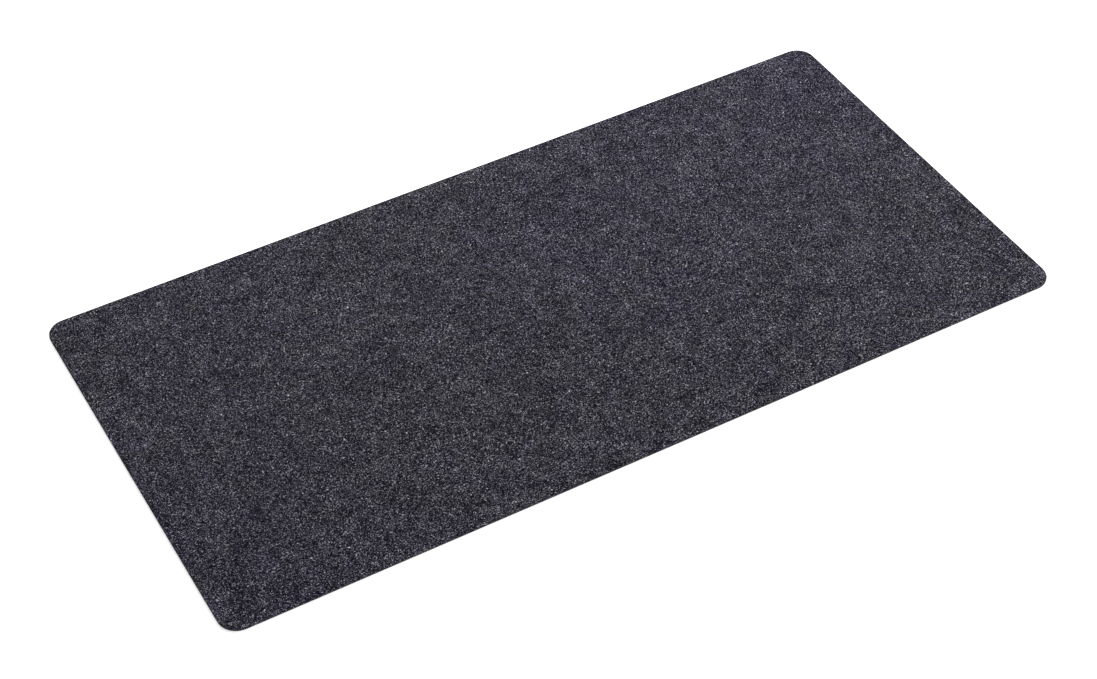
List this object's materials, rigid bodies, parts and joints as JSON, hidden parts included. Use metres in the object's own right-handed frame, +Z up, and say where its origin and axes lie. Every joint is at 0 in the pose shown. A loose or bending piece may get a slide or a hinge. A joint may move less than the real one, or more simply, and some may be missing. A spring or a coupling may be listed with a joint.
{
  "type": "desk mat",
  "caption": "Thin flat rectangular felt desk mat with round corners: a speckled needle-punched face bonded to an anti-slip rubber backing, laid under a keyboard and mouse.",
  "frame": {"origin": "middle of the underside, where the mat lies on the desk", "axes": "+X along the long side, towards the user's right; +Y along the short side, away from the user; +Z up, out of the felt face"},
  "size_m": [0.8, 0.4, 0.003],
  "materials": {
    "felt": "matt speckled anthracite needle-punched polyester felt, dark, mid and light grey fibres mixed",
    "film": "smoky dark hot-melt bonding film, seen only as a hairline between the layers",
    "backing": "matt dark grey rubber sheet, embossed with small round grip nubs"
  },
  "bodies": {
    "root": {"felt_face": "felt", "adhesive_film": "film", "antislip_backing": "backing"}
  },
  "joints": []
}
